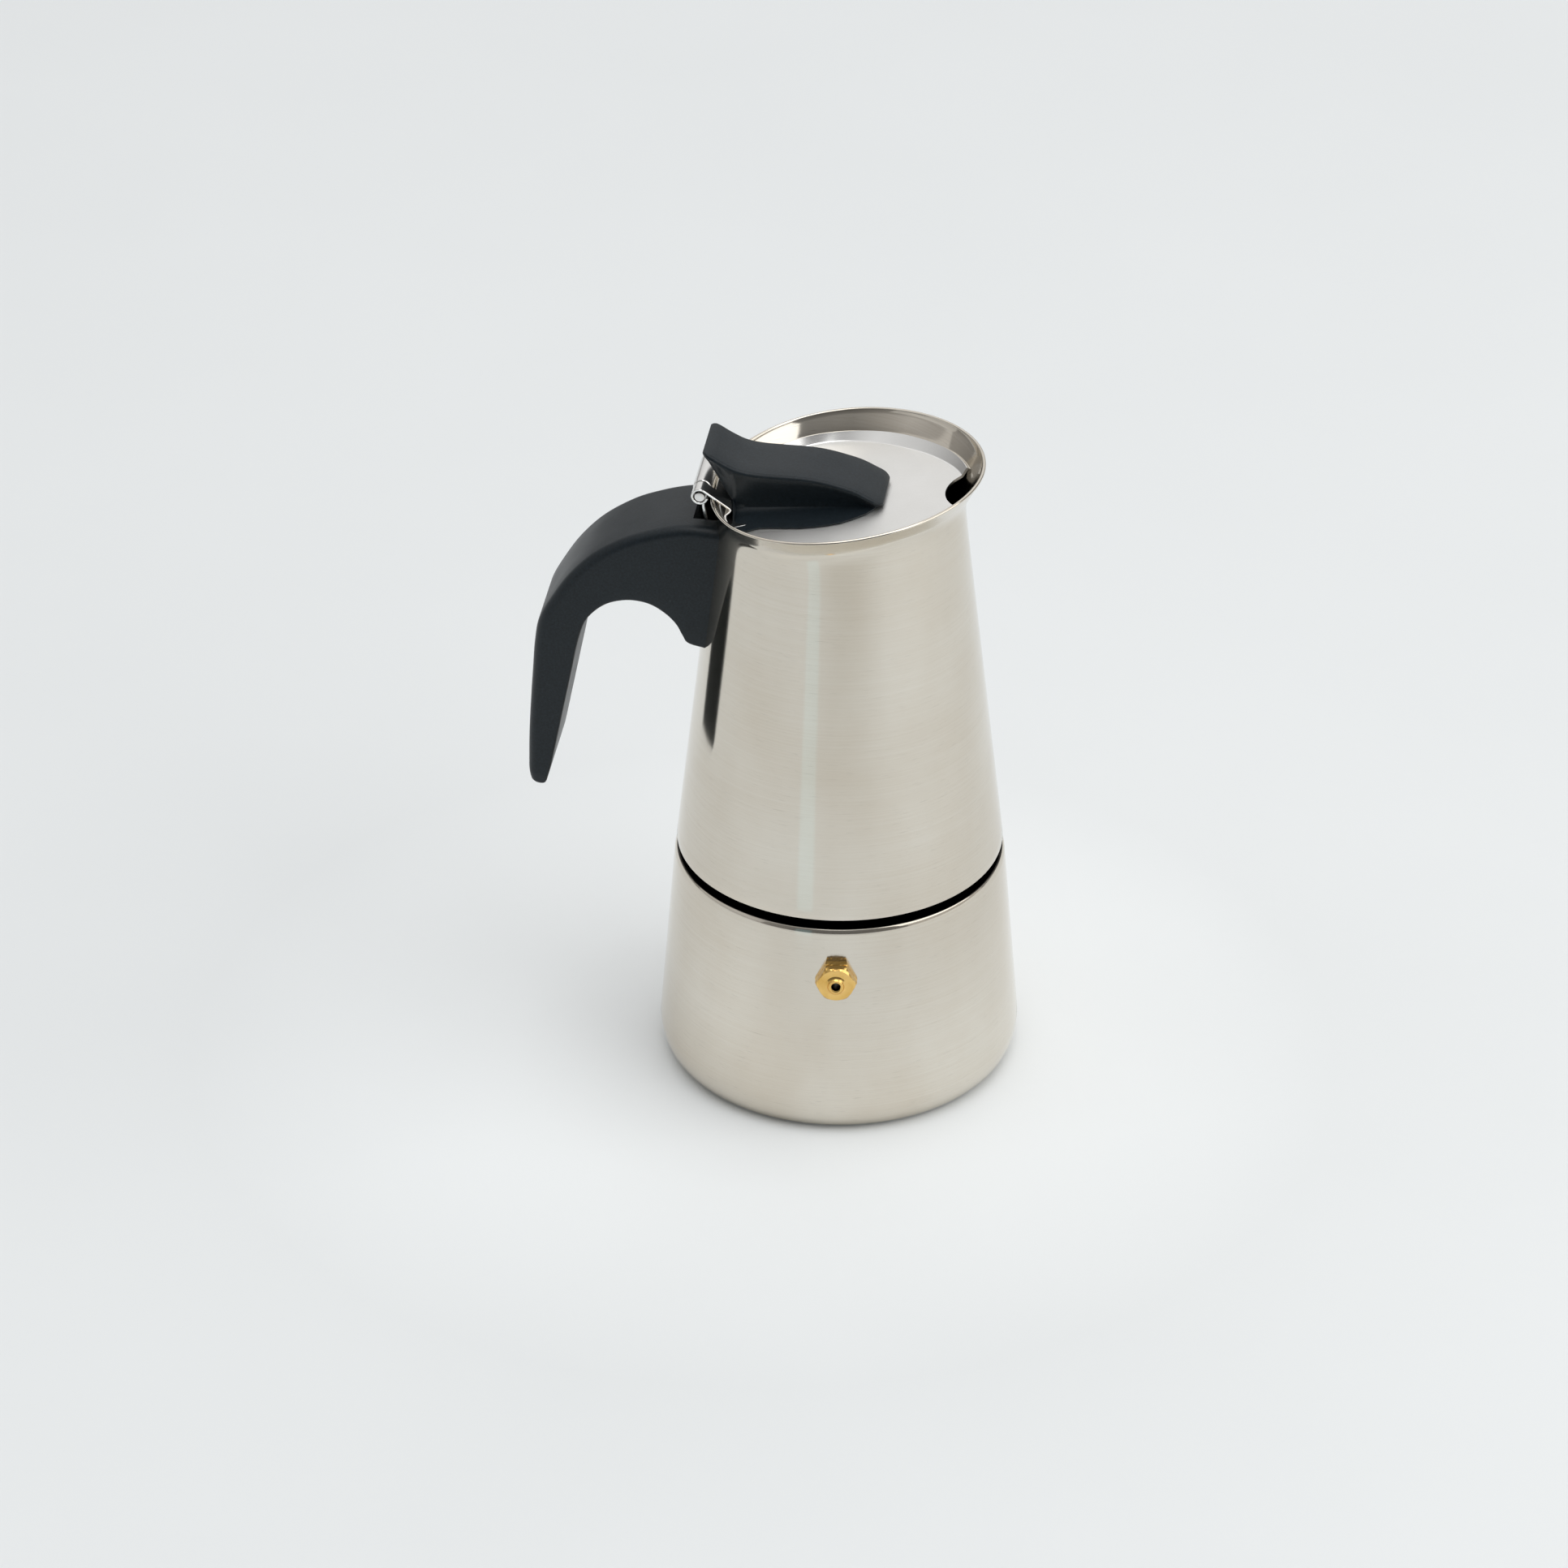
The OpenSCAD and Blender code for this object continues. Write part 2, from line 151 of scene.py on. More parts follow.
def shade(obj, sharp=35.0):
    """Smooth shading that keeps edges sharper than the angle."""
    obj.data.polygons.foreach_set("use_smooth", [True] * len(obj.data.polygons))
    obj.data.set_sharp_from_angle(angle=math.radians(sharp))


def ring_faces(rings, count, closed_rings):
    """Quads between consecutive rings of the same number of points."""
    faces = []
    last = rings if closed_rings else rings - 1
    for i in range(last):
        a, b = i * count, ((i + 1) % rings) * count
        for j in range(count):
            k = (j + 1) % count
            faces.append((a + j, b + j, b + k, a + k))
    return faces


def lathe(name, profile, count=AROUND, closed=True):
    """Revolves a profile round Z. profile is a list of (r, z), or a function of the angle that gives one."""
    shape = profile if callable(profile) else lambda _angle: profile
    angles = [2 * math.pi * j / count for j in range(count)]
    columns = [shape(a) for a in angles]
    rings = len(columns[0])
    verts = [
        (columns[j][i][0] * math.cos(a), columns[j][i][0] * math.sin(a), columns[j][i][1])
        for i in range(rings)
        for j, a in enumerate(angles)
    ]
    return new_object(name, verts, ring_faces(rings, count, closed))


def arc(centre, radius, start, end, steps):
    """Points on a circle in a plane, angles in degrees."""
    out = []
    for i in range(steps + 1):
        a = math.radians(start + (end - start) * i / steps)
        out.append((centre[0] + radius * math.cos(a), centre[1] + radius * math.sin(a)))
    return out


def spline(points, steps):
    """Catmull-Rom curve through points of any dimension."""
    pts = [np.array(p, float) for p in points]
    pts = [2 * pts[0] - pts[1]] + pts + [2 * pts[-1] - pts[-2]]
    out = []
    for i in range(1, len(pts) - 2):
        a, b, c, d = pts[i - 1 : i + 3]
        for k in range(steps):
            t = k / steps
            curve = (c - a) * t + (2 * a - 5 * b + 4 * c - d) * t**2 + (3 * b - a - 3 * c + d) * t**3
            out.append(b + 0.5 * curve)
    out.append(pts[-2])
    return out


def loft(name, rings, sharp=35.0):
    """Closed skin through rings of the same number of points, capped at both ends."""
    count = len(rings[0])
    verts = [tuple(p) for ring in rings for p in ring]
    faces = ring_faces(len(rings), count, False)
    faces.append(tuple(range(count))[::-1])
    faces.append(tuple(range((len(rings) - 1) * count, len(rings) * count)))
    return new_object(name, verts, faces, sharp)


def thick_path(name, path, thickness, y0, y1):
    """Bent sheet: a path of (x, z), given a thickness and a width from y0 to y1, with softened long edges.
    y0 and y1 are numbers, or lists with one number for each point of the path."""
    pts = [Vector(p) for p in path]
    normals = []
    for i in range(len(pts)):
        before = (pts[i] - pts[max(0, i - 1)]).normalized() if i else (pts[1] - pts[0]).normalized()
        after = (pts[min(len(pts) - 1, i + 1)] - pts[i]).normalized() if i < len(pts) - 1 else before
        n = Vector((-(before + after).y, (before + after).x)).normalized()
        normals.append(n / max(0.5, n.dot(Vector((-before.y, before.x)))))
    bevel = 0.22  # share of the thickness taken off each long edge
    soft, flat = bevel * thickness, 1 - 2 * bevel
    low, high = np.broadcast_to(y0, len(pts)), np.broadcast_to(y1, len(pts))
    rings = []
    for p, n, a, b in zip(pts, normals, low, high):
        section = [(1, a + soft), (flat, a), (-flat, a), (-1, a + soft)]
        section += [(-1, b - soft), (-flat, b), (flat, b), (1, b - soft)]
        rings.append([(p.x + n.x * k * thickness / 2, y, p.y + n.y * k * thickness / 2) for k, y in section])
    return loft(name, rings)


def join(name, objects):
    """One object from several, with its own name."""
    chosen = {"selected_objects": objects, "selected_editable_objects": objects}
    with bpy.context.temp_override(active_object=objects[0], **chosen):
        bpy.ops.object.join()
    objects[0].name = name
    objects[0].data.name = name
    return objects[0]


def cut(obj, cutters, sharp=35.0):
    """Subtracts the cutters from obj, and removes them."""
    for tool in cutters:
        mod = obj.modifiers.new("cut", "BOOLEAN")
        mod.operation = "DIFFERENCE"
        mod.solver = "EXACT"
        mod.object = tool
        depsgraph = bpy.context.evaluated_depsgraph_get()
        mesh = bpy.data.meshes.new_from_object(obj.evaluated_get(depsgraph))
        obj.modifiers.clear()
        obj.data = mesh
        bpy.data.objects.remove(tool)
    shade(obj, sharp)
    return obj


def drum(name, radius, low, high, count=64):
    """Plain round cutter along Z."""
    circle = [(radius * math.cos(2 * math.pi * j / count), radius * math.sin(2 * math.pi * j / count))
              for j in range(count)]
    return loft(name, [[(x, y, z) for x, y in circle] for z in (low, high)])


def block(name, low, high):
    """Plain box cutter."""
    corners = [(low[0], low[1]), (high[0], low[1]), (high[0], high[1]), (low[0], high[1])]
    return loft(name, [[(x, y, z) for x, y in corners] for z in (low[2], high[2])])


def place(obj, matrix):
    """Moves the mesh itself by a matrix whose translation is in mm."""
    m = matrix.copy()
    m.translation = m.translation * MM
    obj.data.transform(m)
    return obj


Z_ALONG_X = Matrix.Rotation(math.pi / 2, 4, "Y")
LID_FRAME = Matrix.Translation((0, 0, LID_Z)) @ Matrix.Rotation(-TILT, 4, "Y")
VALVE_FRAME = Matrix.Translation((0, 0, VALVE.z)) @ Matrix.Rotation(VALVE_ANGLE, 4, "Z") @ Z_ALONG_X
PIN_FRAME = Matrix.Translation(PIN) @ Matrix.Rotation(math.pi / 2, 4, "X")

# ---------------------------------------------------------------- materials


def set_stops(node, stops):
    """Gives a colour ramp its stops: a list of (position, colour)."""
    elements = node.color_ramp.elements
    while len(elements) < len(stops):
        elements.new(0.5)
    for element, (pos, colour) in zip(elements, stops):
        element.position = pos
        element.color = (*colour, 1)


class Surface:
    """A small builder for a procedural material."""

    def __init__(self, name, **sockets):
        self.mat = bpy.data.materials.new(name)
        self.mat.use_nodes = True
        self.nodes = self.mat.node_tree.nodes
        self.links = self.mat.node_tree.links
        self.shader = self.nodes["Principled BSDF"]
        for key, value in sockets.items():
            self.shader.inputs[key.replace("_", " ")].default_value = value

    def node(self, kind, **values):
        """A new node of a kind, with some of its properties set."""
        n = self.nodes.new(kind)
        for key, value in values.items():
            setattr(n, key, value)
        return n

    def coords(self, scale=(1, 1, 1)):
        """Object coordinates in the part's frame, stretched."""
        tex = self.node("ShaderNodeTexCoord")
        mapping = self.node("ShaderNodeMapping")
        mapping.inputs["Scale"].default_value = scale
        self.links.new(tex.outputs["Object"], mapping.inputs["Vector"])
        return mapping.outputs["Vector"]

    def noise(self, vector, scale, detail=4.0, rough=0.55):
        """Cloudy pattern between 0 and 1."""
        n = self.node("ShaderNodeTexNoise")
        n.inputs["Scale"].default_value = scale
        n.inputs["Detail"].default_value = detail
        n.inputs["Roughness"].default_value = rough
        self.links.new(vector, n.inputs["Vector"])
        return n.outputs["Fac"]

    def ramp(self, value, stops):
        """Maps a value through colours: a list of (position, colour)."""
        n = self.node("ShaderNodeValToRGB")
        set_stops(n, stops)
        self.links.new(value, n.inputs["Fac"])
        return n.outputs["Color"]

    def span(self, value, low, high, start=0.0, end=1.0):
        """Maps the values from start to end onto low to high."""
        n = self.node("ShaderNodeMapRange")
        n.inputs["From Min"].default_value = start
        n.inputs["From Max"].default_value = end
        n.inputs["To Min"].default_value = low
        n.inputs["To Max"].default_value = high
        self.links.new(value, n.inputs["Value"])
        return n.outputs["Result"]

    def mix(self, factor, a, b, mode="MIX"):
        """Blends b over a by a number or by another pattern."""
        n = self.node("ShaderNodeMix", data_type="RGBA", blend_type=mode)
        if isinstance(factor, (int, float)):
            n.inputs["Factor"].default_value = factor
        else:
            self.links.new(factor, n.inputs["Factor"])
        self.links.new(a, n.inputs["A"])
        self.links.new(b, n.inputs["B"])
        return n.outputs["Result"]

    def bump(self, height, strength, distance, onto=None):
        """Normal from a height pattern, on top of another bump if one is given."""
        n = self.node("ShaderNodeBump")
        n.inputs["Strength"].default_value = strength
        n.inputs["Distance"].default_value = distance
        self.links.new(height, n.inputs["Height"])
        if onto is not None:
            self.links.new(onto, n.inputs["Normal"])
        return n.outputs["Normal"]

    def within(self, value, low, high, soft):
        """1 between low and high, fading to 0 over soft."""
        rise = self.span(value, 0.0, 1.0, low - soft, low)
        fall = self.span(value, 1.0, 0.0, high, high + soft)
        both = self.node("ShaderNodeMath", operation="MULTIPLY")
        self.links.new(rise, both.inputs[0])
        self.links.new(fall, both.inputs[1])
        return both.outputs["Value"]

    def painted_seam_shade(self):
        """Painted shade: covers the steel in the seam between boiler and collector, behind its outer edge,
        where shade falls.
        """
        tex = self.node("ShaderNodeTexCoord")
        parts = self.node("ShaderNodeSeparateXYZ")
        self.links.new(tex.outputs["Object"], parts.inputs["Vector"])
        flat = self.node("ShaderNodeVectorMath", operation="MULTIPLY")
        flat.inputs[1].default_value = (1, 1, 0)
        self.links.new(tex.outputs["Object"], flat.inputs[0])
        away = self.node("ShaderNodeVectorMath", operation="LENGTH")
        self.links.new(flat.outputs["Vector"], away.inputs[0])
        total = None
        # Lowest height, greatest height and outer radius of the steel painted dark as seam shade
        zones = [(BOILER_TOP - 1.2, SKIRT_Z - 0.6, 44.95), (SKIRT_Z - 0.6, SKIRT_Z + 3, SKIRT_R - 1.0)]
        for low, high, reach in zones:
            part = self.node("ShaderNodeMath", operation="MULTIPLY")
            self.links.new(self.within(parts.outputs["Z"], low * MM, high * MM, 0.0001), part.inputs[0])
            self.links.new(self.within(away.outputs["Value"], 0.036, reach * MM, 0.0001), part.inputs[1])
            if total is None:
                total = part
            else:
                both = self.node("ShaderNodeMath", operation="MAXIMUM")
                self.links.new(total.outputs["Value"], both.inputs[0])
                self.links.new(part.outputs["Value"], both.inputs[1])
                total = both
        return total.outputs["Value"]

    def set(self, socket, output):
        """Feeds a socket of the shader."""
        self.links.new(output, self.shader.inputs[socket])


def brushed_steel(name, dark, light, rough, anisotropy):
    """Steel with fine brushing round the pot, soft clouds, shallow dents and short scratches.
    Inside the seam between boiler and collector it is painted near black, as painted shade."""
    s = Surface(name, Metallic=1.0, Anisotropic=anisotropy, Anisotropic_Rotation=0.25)
    lines = s.noise(s.coords((5, 5, 700)), 4.0, 4.0, 0.6)
    fine = s.noise(s.coords((18, 18, 4200)), 3.0, 3.0, 0.6)
    nicks = s.noise(s.coords((70, 70, 2400)), 3.0, 2.0, 0.5)
    cloud = s.noise(s.coords((1, 1, 0.7)), 34.0, 3.0, 0.5)
    dents = s.noise(s.coords((1, 1, 0.45)), 40.0, 1.0, 0.4)
    tone = s.ramp(s.mix(0.35, cloud, lines), [(0.32, dark), (0.66, light)])
    marks = s.ramp(nicks, [(0.27, (0.78, 0.78, 0.78)), (0.33, (1, 1, 1))])
    tone = s.mix(1.0, tone, marks, "MULTIPLY")
    # Painted shade: near-black colour for the steel in the seam between boiler and collector
    seam_shade_tone = s.ramp(cloud, [(0.3, (0.010, 0.009, 0.008)), (0.7, (0.022, 0.020, 0.018))])
    s.set("Base Color", s.mix(s.painted_seam_shade(), tone, seam_shade_tone))
    s.set("Roughness", s.span(s.mix(0.5, fine, cloud), rough - 0.02, rough + 0.02, 0.3, 0.7))
    waves = s.bump(dents, 1.0, 0.0001)
    s.set("Normal", s.bump(lines, 0.05, 0.00002, s.bump(fine, 0.08, 0.00001, waves)))
    tangent = s.node("ShaderNodeTangent", direction_type="RADIAL", axis="Z")
    s.set("Tangent", tangent.outputs["Tangent"])
    return s.mat


def sheet_steel(name, dark, light, rough, spread=0.25):
    """Rolled sheet with faint handling marks."""
    s = Surface(name, Metallic=1.0)
    cloud = s.noise(s.coords(), 60.0, 4.0)
    roll = s.noise(s.coords((4, 400, 40)), 3.0, 4.0)
    grain = s.noise(s.coords(), 2600.0, 2.0)
    s.set("Base Color", s.ramp(s.mix(0.3, cloud, grain), [(0.3, dark), (0.7, light)]))
    s.set("Roughness", s.span(s.mix(0.5, cloud, roll), rough * (1 - spread), rough * (1 + spread), 0.3, 0.7))
    s.set("Normal", s.bump(roll, 0.04, 0.00001, s.bump(grain, 0.05, 0.00001)))
    return s.mat


def brass(name):
    """Turned brass, a little darker where it has been handled."""
    s = Surface(name, Metallic=1.0)
    cloud = s.noise(s.coords(), 180.0, 4.0)
    turned = s.noise(s.coords((300, 3000, 3000)), 1.5, 3.0)
    s.set("Base Color", s.ramp(cloud, [(0.28, (0.72, 0.44, 0.12)), (0.68, (0.88, 0.59, 0.21))]))
    s.set("Roughness", s.span(turned, 0.10, 0.19, 0.3, 0.7))
    s.set("Normal", s.bump(turned, 0.04, 0.00002))
    return s.mat


def black_plastic(name):
    """Matte moulded plastic with a fine spark-eroded texture and pale specks in its pits."""
    s = Surface(name, Specular_IOR_Level=0.31, Sheen_Weight=0.06, Sheen_Roughness=0.4)
    coords = s.coords()
    grain = s.noise(coords, 1500.0, 3.0, 0.6)
    pits = s.noise(coords, 900.0, 2.0, 0.5)
    cloud = s.noise(coords, 45.0, 3.0)
    tone = s.ramp(grain, [(0.35, (0.004, 0.008, 0.011)), (0.72, (0.009, 0.016, 0.022))])
    dust = s.ramp(pits, [(0.68, (0, 0, 0)), (0.78, (0.012, 0.014, 0.015))])
    s.set("Base Color", s.mix(1.0, tone, dust, "ADD"))
    s.set("Roughness", s.span(cloud, 0.36, 0.46, 0.3, 0.7))
    s.set("Normal", s.bump(grain, 0.22, 0.00004, s.bump(pits, 0.12, 0.00005)))
    return s.mat


def soft_rubber(name, dark, light, rough):
    """Cloudy gasket or washer material with a fine matt skin."""
    s = Surface(name, Subsurface_Weight=0.1, Subsurface_Scale=0.002)
    cloud = s.noise(s.coords(), 90.0, 4.0)
    fine = s.noise(s.coords(), 1800.0, 2.0)
    s.set("Base Color", s.ramp(cloud, [(0.3, dark), (0.7, light)]))
    s.set("Roughness", s.span(fine, rough - 0.07, rough + 0.07, 0.3, 0.7))
    s.set("Normal", s.bump(fine, 0.12, 0.00003))
    return s.mat


MATERIALS = {
    "brushed_steel": brushed_steel("brushed_steel", (0.64, 0.58, 0.49), (0.73, 0.69, 0.615), 0.105, 0.65),
    "bright_steel": sheet_steel("bright_steel", (0.74, 0.735, 0.72), (0.82, 0.815, 0.80), 0.20),
    "satin_steel": sheet_steel("satin_steel", (0.76, 0.755, 0.735), (0.82, 0.815, 0.80), 0.46, 0.06),
    "inner_steel": brushed_steel("inner_steel", (0.56, 0.545, 0.515), (0.68, 0.665, 0.63), 0.24, 0.5),
    "fastener_steel": sheet_steel("fastener_steel", (0.42, 0.42, 0.42), (0.6, 0.6, 0.59), 0.3),
    "valve_brass": brass("valve_brass"),
    "black_plastic": black_plastic("black_plastic"),
    "silicone": soft_rubber("silicone", (0.74, 0.73, 0.68), (0.84, 0.83, 0.79), 0.5),
    "red_fibre": soft_rubber("red_fibre", (0.24, 0.035, 0.02), (0.36, 0.06, 0.035), 0.65),
}


def finish_piece(obj, body, slot, *replaced):
    """Gives a piece its material and its body, and hides the CAD nodes it stands for."""
    obj.data.materials.clear()
    obj.data.materials.append(MATERIALS[slot])
    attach(obj, body)
    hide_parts(*replaced)


# ---------------------------------------------------------------- collector shell


def collector_profile(angle):
    """Section of the collector's wall: rounded hem, taper, flare, rolled lip and back down the inside."""
    lip = SHEET / 2
    top = rim_z(angle) - lip
    hem = 0.4
    outside = [(SKIRT_R - hem, SKIRT_Z), (SKIRT_R - 0.1, SKIRT_Z + 0.1)]
    outside += [(cone_r(SKIRT_Z + hem), SKIRT_Z + hem)]
    outside += [(wall_r(angle, z), z) for z in np.linspace(SKIRT_Z + 3, 160.0, 24)]
    outside += [(wall_r(angle, z), z) for z in np.linspace(161.5, top, 22)]
    edge = arc((rim_r(angle) - lip, top), lip, 15, 165, 6)
    inside = [(r - SHEET, z) for r, z in outside[:1:-1]]
    return outside + edge + inside + [(SKIRT_R - SHEET, SKIRT_Z)]


collector = lathe("collector_skin", collector_profile)
finish_piece(collector, "collector", "brushed_steel", "collector_shell")

# ---------------------------------------------------------------- boiler shell


def boiler_wall(z):
    """Outer radius of the boiler's straight wall."""
    return BOILER_R + (BOILER_TOP_R - BOILER_R) * (z - BOILER_MAX_Z) / (BOILER_TOP - BOILER_MAX_Z)


# The wall ends in a wide sweep and a small roll onto the flat top
roll_r, sweep_r = 0.6, 4.0
wall_lean = math.degrees(math.atan((BOILER_R - BOILER_TOP_R) / (BOILER_TOP - BOILER_MAX_Z)))
roll_z = BOILER_TOP - roll_r
sweep_z = roll_z - (sweep_r - roll_r) * 0.5
wall_end = sweep_z + sweep_r * math.sin(math.radians(wall_lean))
sweep_x = boiler_wall(wall_end) - sweep_r * math.cos(math.radians(wall_lean))
roll_x = sweep_x + (sweep_r - roll_r) * math.cos(math.radians(30))
base_curve = [(46.5, 0.75), (47.6, 1.5), (48.9, 3.6), (49.7, 6.2), (BOILER_R, BOILER_MAX_Z)]
boiler_outside = [(44.6, 2.6), (45.6, 1.2)] + spline(base_curve, 5)
boiler_outside += [(boiler_wall(z), z) for z in np.linspace(BOILER_MAX_Z + 3, wall_end, 16)]
boiler_outside += arc((sweep_x, sweep_z), sweep_r, wall_lean, 30, 8)[1:]
boiler_outside += arc((roll_x, roll_z), roll_r, 30, 90, 7)[1:]
boiler_outside += [(42.6, BOILER_TOP), (39.6, BOILER_TOP)]
boiler_inside = [(39.6, BOILER_TOP - SHEET), (43.6, BOILER_TOP - SHEET), (44.3, BOILER_TOP - 2)]
boiler_inside += [(boiler_wall(z) - SHEET, z) for z in np.linspace(BOILER_TOP - 4, BOILER_MAX_Z, 8)]
boiler_inside += [(48.7, 6.4), (47.9, 4.4), (46.6, 3.1)]
boiler = lathe("boiler_skin", boiler_outside + boiler_inside)
cut(boiler, [place(drum("port", PORT_R, 38, 56), VALVE_FRAME)])
finish_piece(boiler, "boiler", "brushed_steel", "boiler_shell")

# ---------------------------------------------------------------- lid sheet

# Radius of the crease round the lid's flat, and height of its brim, by angle from the spout
CREASE = [(0, 33.6), (15, 33.2), (25, 32.0), (35, 30.6), (60, 29.0), (82, 29.9), (100, 31.4), (112, 31.9),
          (130, 31.6), (180, 31.0)]
BRIM_UP = [(0, 1.5), (30, 2.0), (54, 2.2), (86, 2.2), (100, 2.4), (113, 2.6), (180, 2.6)]


def brim_r(angle, rise):
    """Radius in the lid's frame at which the brim stands just clear of the pot's wall."""
    radius = 33.0
    for _ in range(12):
        x, y, z = LID_FRAME @ Vector((radius * math.cos(angle), radius * math.sin(angle), rise))
        radius += wall_r(math.atan2(y, x), z) - SHEET - 0.2 - math.hypot(x, y)
    return radius


def lid_profile(angle):
    """Flat plate, bent up into a brim that almost meets the pot's wall."""
    flat, rise = polar(CREASE, angle), polar(BRIM_UP, angle)
    edge = brim_r(angle, rise)
    lean = math.atan2(rise, max(0.7, edge - flat))
    turn = min(1.6, 0.9 * rise / math.tan(lean / 2))
    at = (flat - turn * math.tan(lean / 2) * 0.5, turn)
    out = Vector((at[0] + turn * math.sin(lean), turn * (1 - math.cos(lean))))
    run = Vector((math.cos(lean), math.sin(lean)))
    tip = out + run * max(0.3, (rise - out.y) / run.y)
    inward = Vector((-run.y, run.x)) * LID_SHEET
    profile = [(0.001, 0.0), (10.0, 0.0), (20.0, 0.0)] + arc(at, turn, -90, math.degrees(lean) - 90, 6)
    bulge = run * 0.16
    profile += [tuple(tip), tuple(tip + inward * 0.25 + bulge), tuple(tip + inward * 0.75 + bulge)]
    profile += [tuple(tip + inward)]
    profile += arc(at, turn - LID_SHEET, math.degrees(lean) - 90, -90, 6)
    return profile + [(20.0, LID_SHEET), (10.0, LID_SHEET), (0.001, LID_SHEET)]


lid = lathe("lid_sheet", lid_profile, count=180)
notch = place(drum("notch", NOTCH_R, -5, 12, 96), Matrix.Translation((NOTCH_X, 0, 0)))
place(cut(lid, [notch]), LID_FRAME)
finish_piece(lid, "lid", "bright_steel", "lid_plate")
lid.data.materials.append(MATERIALS["satin_steel"])
for face in lid.data.polygons:
    middle = LID_FRAME.inverted() @ (face.center / MM)
    if face.normal.z > 0.97 and middle.xy.length < polar(CREASE, math.atan2(middle.y, middle.x)):
        face.material_index = 1

# ---------------------------------------------------------------- hinge

WRAP_T = 0.6  # thickness of the leaf
WRAP = PIN_R + 0.25 + WRAP_T / 2  # radius of the middle of the sheet rolled round the pin
HALF_MIDDLE = node_box("hinge_bracket")[1].y


def leave_angle(target):
    """Angle on the rolled sheet at which it runs off straight to a point (x, z)."""
    away = Vector((target[0] - PIN.x, target[1] - PIN.z))
    return math.degrees(math.atan2(away.y, away.x) + math.acos(WRAP / away.length))


# The leaf's path (x, z) from the knuckle down to its foot on the lid
LEAF = [(-28.85, 174.3), (-28.5, 173.75), (-28.75, 173.3), (-29.75, 172.4), (-29.95, 171.95), (-29.7, 171.4),
        (-28.7, 170.75), (-27.2, 170.5), (-24.0, lid_plane(-24.0) + LID_SHEET * 1.5)]
WIDER = [0, 0, 0, 0, 0, 0.9, 2.4, 3.6, 2.6]  # extra half width at each of these points, down to the foot
turned = [(PIN.x + p[0], PIN.z + p[1]) for p in arc((0, 0), WRAP, -12, leave_angle(LEAF[0]) - 360, 30)]
spread = [HALF_LEAF] * len(turned) + [HALF_LEAF + w for w in WIDER]
half_gap = HALF_MIDDLE + 0.35
tabs = [thick_path("leaf_tab", turned + LEAF, WRAP_T, [-w for w in spread], -half_gap),
        thick_path("leaf_tab", turned + LEAF, WRAP_T, half_gap, spread)]
middle_path = [(-33.2, 177.0)] + LEAF
tabs.append(thick_path("leaf_middle", middle_path, WRAP_T * 0.98, -half_gap - 0.3, half_gap + 0.3))
finish_piece(join("lid_hinge_sheet", tabs), "lid", "bright_steel", "lid_hinge_leaf")

strap = arc((PIN.x, PIN.z), WRAP, 200, -75, 26) + [(-36.6, 175.0)]
strap += [(-36.5, 171.5), (-35.6, 166.8), (-34.85, 163.5), (-37.98, 135.0)]
STRIP_T = 0.9  # thickness of the strip
bracket = thick_path("hinge_strip", strap, STRIP_T, -HALF_MIDDLE, HALF_MIDDLE)
finish_piece(bracket, "collector", "bright_steel", "hinge_bracket")

half_pin = HALF_LEAF + 0.1
turned_r = PIN_R - 0.08
pin_profile = [(0.001, -half_pin), (turned_r - 0.3, -half_pin), (turned_r - 0.08, -half_pin + 0.1)]
pin_profile += [(turned_r, -half_pin + 0.3)]
pin_profile += [(r, -z) for r, z in pin_profile[::-1]]
pin = place(lathe("hinge_pin_turned", pin_profile, 48, closed=False), PIN_FRAME)
finish_piece(pin, "collector", "bright_steel", "hinge_pin")

# ---------------------------------------------------------------- valve nuts


def hex_nut(name, across, stations):
    """Hexagon along Z, cut round at each station: a list of (z, radius of the round)."""
    rings = []
    for z, radius in stations:
        ring = []
        for j in range(96):
            a = 2 * math.pi * j / 96
            flat = across / 2 / math.cos((a + math.pi / 6) % (math.pi / 3) - math.pi / 6)
            ring.append((min(flat, radius) * math.cos(a), min(flat, radius) * math.sin(a), z))
        rings.append(ring)
    return loft(name, rings, 20)


def valve_reach(node):
    """Lowest and highest station of a CAD node along the valve's axis."""
    stations = [(VALVE_FRAME.inverted() @ (v.co / MM)).z for v in NODES[node].data.vertices]
    return min(stations), max(stations)


ACROSS = 10.0  # width of the hexagons across flats
CORNER = 5.8  # just past their corners, where nothing is cut
nut_low, nut_high = valve_reach("valve_lock_nut")
nut = hex_nut("valve_nut_turned", ACROSS, [
    (nut_low, 5.7), (nut_high - 0.35, CORNER), (nut_high - 0.12, 5.45), (nut_high, 5.1)])
cut(nut, [drum("nut_bore", PORT_R, 30, 60)], 20)
finish_piece(place(nut, VALVE_FRAME), "boiler", "valve_brass", "valve_lock_nut")

cap_low, cap_high = valve_reach("valve_cap")
face = cap_high - 1.0
cap = hex_nut("valve_cap_turned", ACROSS - 0.1, [
    (cap_low, 5.1), (cap_low + 0.12, 5.45), (cap_low + 0.3, CORNER), (face - 1.15, CORNER),
    (face - 0.55, 5.3), (face - 0.12, 4.9), (face, 4.78)])
cut(cap, [drum("cap_bore", 1.3, 30, 70), drum("spring_bore", 2.3, 30, cap_low + 1.98)], 20)
nub = lathe("nub", [(r, face + h) for r, h in (
    (1.3, -0.5), (2.95, -0.5), (2.9, 0.02), (2.7, 0.16), (2.4, 0.3), (2.2, 0.55),
    (2.15, 0.8), (2.0, 0.96), (1.7, 1.0), (1.45, 0.95), (1.3, 0.8))], 64)
finish_piece(place(join("valve_cap_turned", [cap, nub]), VALVE_FRAME), "boiler", "valve_brass", "valve_cap")

# ---------------------------------------------------------------- handle

